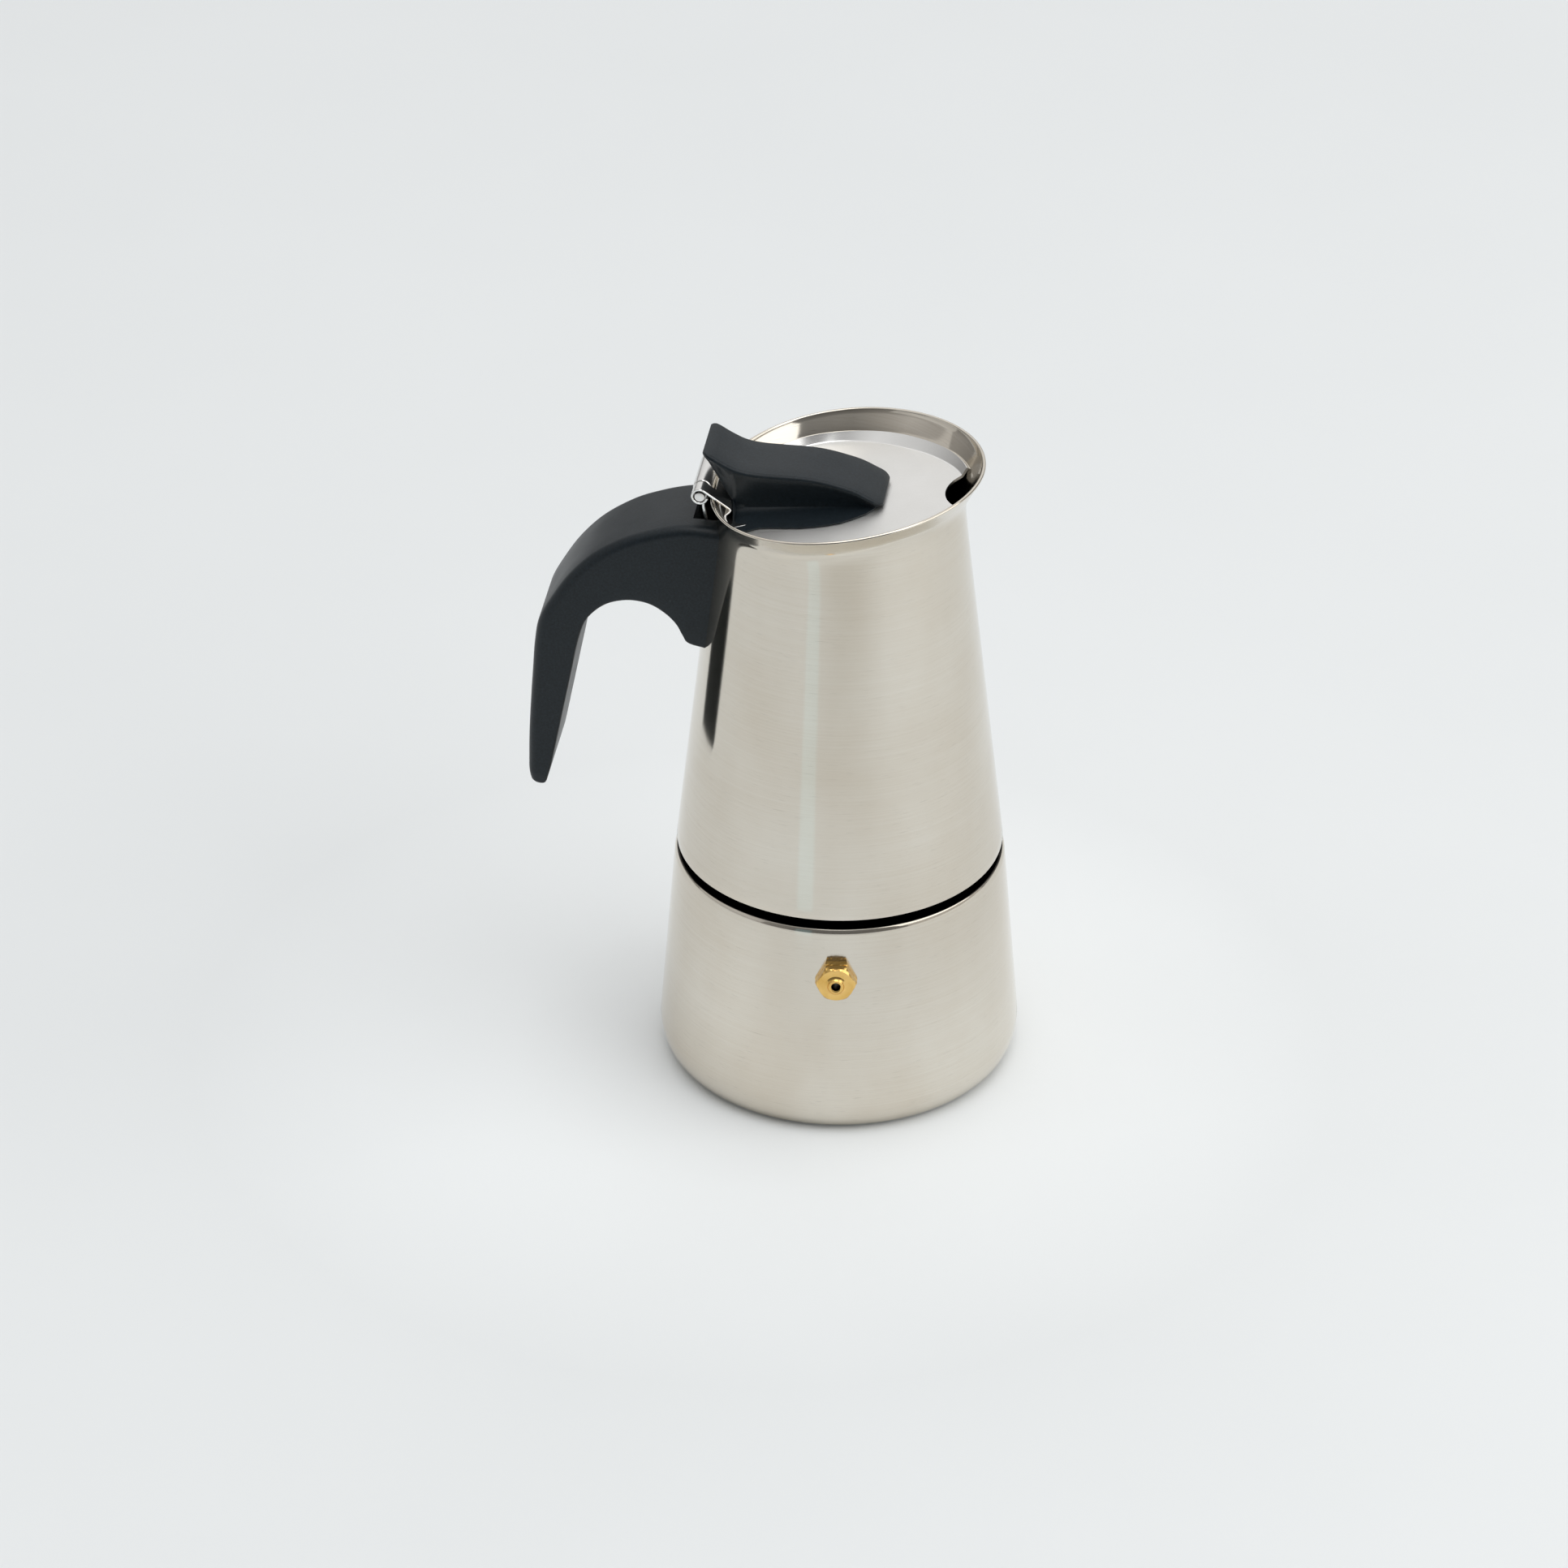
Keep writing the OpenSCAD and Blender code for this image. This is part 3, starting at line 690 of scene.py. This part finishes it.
# Pairs of points on the outer and inner edge of the handle, from the grip's tip to the pot
RIBS = [
    ((-83.2, 83.45), (-81.7, 83.1)), ((-84.25, 84.7), (-80.2, 83.75)), ((-84.75, 87.0), (-79.3, 86.5)),
    ((-84.9, 90.0), (-78.4, 90.0)), ((-84.65, 99.5), (-76.5, 99.5)), ((-84.0, 110.5), (-74.3, 110.5)),
    ((-83.3, 120.0), (-72.3, 120.5)), ((-82.6, 128.5), (-70.8, 128.3)), ((-81.3, 135.6), (-69.2, 134.3)),
    ((-77.9, 142.4), (-67.3, 138.0)), ((-72.9, 150.0), (-63.9, 141.4)), ((-66.2, 157.0), (-60.2, 143.3)),
    ((-57.7, 162.6), (-55.5, 144.1)), ((-50.0, 165.7), (-50.5, 143.25)), ((-44.3, 167.3), (-46.2, 140.6)),
    ((-40.5, 167.9), (-43.3, 137.5)), ((-37.5, 168.0), (-41.6, 134.2)), ((-34.0, 167.8), (-39.9, 131.8)),
    ((-30.0, 167.4), (-34.0, 130.4)),
]


def handle_ring(outer, inner, half):
    """Rounded section across the handle, softer on its outer edges."""
    outer, inner = Vector(outer), Vector(inner)
    deep = (inner - outer).length
    soft_out, soft_in = min(2.8, deep * 0.42), min(1.0, deep * 0.3)
    quarter = [(0.0, 0.0), (0.0, (half - soft_out) * 0.5)]
    quarter += [(soft_out - p[0], half - soft_out + p[1]) for p in arc((0, 0), soft_out, 0, 90, 6)]
    quarter += [(deep * k, half) for k in ((0.45, 0.62, 0.8) if deep > 9 else (0.5, 0.58, 0.64))]
    quarter += [(deep - soft_in + p[0], half - soft_in + p[1]) for p in arc((0, 0), soft_in, 90, 0, 4)]
    quarter += [(deep, (half - soft_in) * 0.5), (deep, 0.0)]
    loop = quarter + [(d, -y) for d, y in quarter[-2:0:-1]]
    way = (inner - outer) / deep
    return [(outer.x + way.x * d, y, outer.y + way.y * d) for d, y in loop]


def onto_pot(point):
    """A point inside the pot's outline is drawn back along X to the pot's wall."""
    x, y, z = point
    reach = math.sqrt(max(0.0, (cone_r(z) - 0.05) ** 2 - y * y))
    return (min(x, -reach), y, z)


# Each row holds x and z of the outer edge, then of the inner edge
rows = spline([(*o, *i) for o, i in RIBS], 6)
narrower = np.interp(np.arange(len(rows)), [0, 6, 12], [1.4, 0.4, 0.0])  # towards the grip's tip
rings = [[onto_pot(p) for p in handle_ring(r[:2], r[2:], HALF_HANDLE - n)] for r, n in zip(rows, narrower)]
grip = loft("handle_moulding", rings, 50)
# A slot for the hinge strip and a recess for the head of the screw
slot = block("slot", (-39.3, -HALF_MIDDLE - 0.2, 133.6), (-20.0, HALF_MIDDLE + 0.2, 190.0))
SCREW_Z = (node_box("handle_screw")[0].z + node_box("handle_screw")[1].z) / 2
sink = place(drum("sink", 3.4, -60, -45), Matrix.Translation((0, 0, SCREW_Z)) @ Z_ALONG_X)
cut(grip, [slot, sink], 50)
finish_piece(grip, "collector", "black_plastic", "handle")

# ---------------------------------------------------------------- lid knob

# Along the thumb piece: height of its top, height of its overhanging rear, and half width of its foot
KNOB_TOP = spline([
    (-36.5, 188.9), (-35.6, 188.95), (-34.0, 188.4), (-31.0, 186.6), (-27.0, 184.75), (-22.6, 184.0),
    (-18.0, 183.85), (-9.0, 183.7), (-4.0, 183.1), (0.0, 182.2), (4.5, 180.9), (8.5, 179.0), (11.0, 177.6),
    (12.2, 176.7)], 6)
KNOB_UNDER = [
    (-36.5, 188.0), (-34.9, 185.6), (-33.6, 183.4), (-31.6, 179.8), (-29.9, 176.6), (-28.5, 174.3),
    (-27.6, 172.4)]
PAD_HALF = [
    (-28.5, 7.4), (-27.6, 13.2), (-26.8, 15.5), (-25.5, 16.8), (-24.0, 17.4), (-22.5, 17.2), (-21.2, 16.5),
    (-19.8, 16.0), (-18.0, 16.0), (-13.0, 16.7), (-9.0, 17.0), (-5.0, 16.8), (-1.5, 16.2), (1.7, 15.3),
    (4.7, 13.6), (8.1, 11.1), (9.6, 9.1), (11.1, 6.6), (12.2, 3.5)]
KNOB_REAR, KNOB_FRONT = -36.5, 12.2
HALF_TOP = 9.3
TIP_ROUND = 2.8  # corners of the thumb piece's front end, seen from above
HALF_WAIST = 7.5


def along(points, x):
    """Value at x on a line through (x, value) points."""
    return float(np.interp(x, [p[0] for p in points], [p[1] for p in points]))


def knob_ring(x):
    """Section across the lid's thumb piece: flat top, hollow sides, and a foot spread on the lid."""
    top = along(KNOB_TOP, x)
    plate = lid_plane(x) + LID_SHEET + 0.03
    low = max(plate, along(KNOB_UNDER, x)) if x < -27.6 else plate
    pad = along(PAD_HALF, x)
    foot = low + min(0.55, (top - low) * 0.2)
    waist = max(174.85 + 0.085 * x, foot + 0.25)
    soft = min(1.1, (top - waist) * 0.4)
    front, rear = max(0.0, x - (KNOB_FRONT + 0.1 - TIP_ROUND)), max(0.0, KNOB_REAR + 1.9 - x)
    half = HALF_TOP - TIP_ROUND + math.sqrt(TIP_ROUND**2 - front**2) - 1.7 * min(1.0, rear / 2.0) ** 2
    narrow = half + (min(HALF_WAIST, pad) - half) * min(1.0, (top - waist) / 4.0)
    loop = [(0.0, top), (half * 0.45, top)]
    loop += [(half - soft + p[0], top - soft + p[1]) for p in arc((0, 0), soft, 90, 0, 5)]
    for k in (0.15, 0.3, 0.45, 0.6, 0.75, 0.9, 1.0):
        hollow = math.sin(k * math.pi / 2) ** 1.2
        loop.append((half + (narrow - half) * hollow, top - soft + (waist - top + soft) * k))
    for k in (0.2, 0.4, 0.6, 0.8, 1.0):
        a = k * math.pi / 2
        loop.append((narrow + (pad - narrow) * (1 - math.cos(a)), waist - (waist - foot) * math.sin(a)))
    loop += [(pad, low + 0.1), (pad - 0.3, low), (0.0, low)]
    loop += [(-y, z) for y, z in loop[-2:0:-1]]
    return [(x, y, z) for y, z in loop]


even = set(np.round(np.linspace(KNOB_REAR, KNOB_FRONT, 74), 3))
ends = {KNOB_REAR + 0.2, KNOB_REAR + 0.4, KNOB_FRONT - 0.5, KNOB_FRONT - 0.2, KNOB_FRONT - 0.1}
stations = sorted(even | {p[0] for p in PAD_HALF} | ends)
knob = loft("lid_knob_moulding", [knob_ring(x) for x in stations], 42)
finish_piece(knob, "lid", "black_plastic", "lid_knob")

# ---------------------------------------------------------------- CAD nodes that keep their shape

for entry in frame["record"]["subparts"]:
    obj = NODES[entry["node"]]
    obj.data.materials.clear()
    obj.data.materials.append(MATERIALS[entry["material_slot"]])

# ---------------------------------------------------------------- floor, light, camera


def floor_material():
    """Pale paper, with a painted shadow well in front of the pot and painted light round its foot."""
    s = Surface("floor_paper", Roughness=0.75, Specular_IOR_Level=0.25)
    cloud = s.noise(s.coords(), 6.0, 3.0)
    paper = s.ramp(cloud, [(0.3, (0.80, 0.825, 0.835)), (0.7, (0.815, 0.84, 0.85))])
    tex = s.node("ShaderNodeTexCoord")

    def patch(centre, inner, outer, colour):
        """A round tint that fades to white between two radii: painted shade where the tint is darker than
        white, painted light where it is brighter.
        """
        away = s.node("ShaderNodeVectorMath", operation="DISTANCE")
        away.inputs[1].default_value = centre
        s.links.new(tex.outputs["Object"], away.inputs[0])
        outward = s.span(away.outputs["Value"], 0.0, 1.0, inner, outer)
        return s.ramp(outward, [(0.0, colour), (1.0, (1, 1, 1))])

    # Painted shadow on the floor well in front of the pot, which darkens what the steel reflects there
    front = patch((0.13, -0.62, 0), 0.12, 0.36, (0.84, 0.82, 0.79))
    # Painted light round the pot's foot, in place of the light its steel would throw back onto the floor
    foot_painted_light = patch((-0.02, -0.01, 0), 0.07, 0.16, (1.14, 1.14, 1.14))
    s.set("Base Color", s.mix(1.0, s.mix(1.0, paper, front, "MULTIPLY"), foot_painted_light, "MULTIPLY"))
    return s.mat


FLOOR_HALF = 6.0  # metres
mesh = bpy.data.meshes.new("floor")
floor_corners = [(FLOOR_HALF * i, FLOOR_HALF * j, 0) for i, j in ((-1, -1), (1, -1), (1, 1), (-1, 1))]
mesh.from_pydata(floor_corners, [], [(0, 1, 2, 3)])
floor = bpy.data.objects.new("floor", mesh)
bpy.context.scene.collection.objects.link(floor)
floor.data.materials.append(floor_material())

# Angles in radians, places in metres, the lens and the sensor in millimetres
CAMERA_UP = math.radians(32.0)
CAMERA_TURN = math.radians(8.0)
CAMERA_FAR = 2.013
LENS = 167.7
SENSOR = 36.0
LOOK_AT = Vector((-0.01545, 0, 0.08256))  # point at the middle of the frame, before the turn

camera_data = bpy.data.cameras.new("camera")
camera_data.sensor_width = SENSOR
camera_data.lens = LENS
camera_data.dof.use_dof = False
camera = bpy.data.objects.new("camera", camera_data)
bpy.context.scene.collection.objects.link(camera)
back = Vector((0, -math.cos(CAMERA_UP), math.sin(CAMERA_UP))) * CAMERA_FAR
turn = Matrix.Rotation(CAMERA_TURN, 3, "Z")
camera.location = turn @ (LOOK_AT + back)
camera.rotation_euler = (math.pi / 2 - CAMERA_UP, 0, CAMERA_TURN)
bpy.context.scene.camera = camera


def area_light(name, azimuth, elevation, distance, size, radiance, colour=(1, 1, 1), aim=0.1):
    """A soft rectangle aimed at the pot's axis, with angles in degrees and lengths in metres.
    Azimuth 0 is on the camera's side, positive to its right."""
    light = bpy.data.lights.new(name, "AREA")
    light.shape = "RECTANGLE"
    light.size, light.size_y = size
    light.energy = radiance * math.pi * size[0] * size[1]
    light.color = colour
    obj = bpy.data.objects.new(name, light)
    bpy.context.scene.collection.objects.link(obj)
    a, e = math.radians(azimuth - 90) + CAMERA_TURN, math.radians(elevation)
    target = Vector((0, 0, aim))
    towards = Vector((math.cos(e) * math.cos(a), math.cos(e) * math.sin(a), math.sin(e)))
    obj.location = target + distance * towards
    obj.rotation_euler = (target - obj.location).to_track_quat("-Z", "Y").to_euler()
    return obj


area_light("overhead", 20, 78, 2.0, (1.6, 1.6), 1.55)
area_light("right_window", 67, 34, 2.2, (2.3, 1.5), 1.35, (1.0, 0.995, 0.98))
area_light("left_room", -78, 13, 2.2, (2.2, 1.1), 0.25, (0.98, 0.99, 1.0))
area_light("right_low", 75, 6, 2.2, (2.6, 0.9), 0.30, (1.0, 0.98, 0.94))
area_light("back_wall", 180, 33, 2.4, (3.4, 2.0), 0.42)
# A narrow cool reflection down the body, softer at its sides
for width, radiance in ((0.034, 0.10), (0.017, 0.17)):
    streak = area_light("streak", -21.5, 0, 0.2, (width, 0.112), radiance, (0.25, 0.8, 1.0), 0.057)
    streak.visible_camera = False
    streak.visible_diffuse = False


def studio_world():
    """Room light that grows from a dim horizon to a pale ceiling, with a dark part of the room in front."""
    world = bpy.data.worlds.new("studio")
    world.use_nodes = True
    nodes, links = world.node_tree.nodes, world.node_tree.links
    tex = nodes.new("ShaderNodeTexCoord")
    parts = nodes.new("ShaderNodeSeparateXYZ")
    links.new(tex.outputs["Generated"], parts.inputs["Vector"])
    ahead = nodes.new("ShaderNodeVectorMath")
    ahead.operation = "DOT_PRODUCT"
    ahead.inputs[1].default_value = (0.12, -0.84, 0.53)
    links.new(tex.outputs["Generated"], ahead.inputs[0])

    def gradient(value, stops):
        ramp = nodes.new("ShaderNodeValToRGB")
        set_stops(ramp, stops)
        links.new(value, ramp.inputs["Fac"])
        return ramp.outputs["Color"]

    sky = gradient(parts.outputs["Z"], [
        (0.0, (0.24, 0.235, 0.23)), (0.3, (0.36, 0.355, 0.35)), (0.5, (0.44, 0.435, 0.43)),
        (0.87, (0.92, 0.92, 0.92))])
    shade_ahead = gradient(ahead.outputs["Value"], [(0.45, (1, 1, 1)), (0.93, (0.42, 0.42, 0.42))])
    both = nodes.new("ShaderNodeMix")
    both.data_type, both.blend_type = "RGBA", "MULTIPLY"
    both.inputs["Factor"].default_value = 1.0
    links.new(sky, both.inputs["A"])
    links.new(shade_ahead, both.inputs["B"])
    links.new(both.outputs["Result"], nodes["Background"].inputs["Color"])
    return world


bpy.context.scene.world = studio_world()
bpy.context.scene.view_settings.view_transform = "Standard"
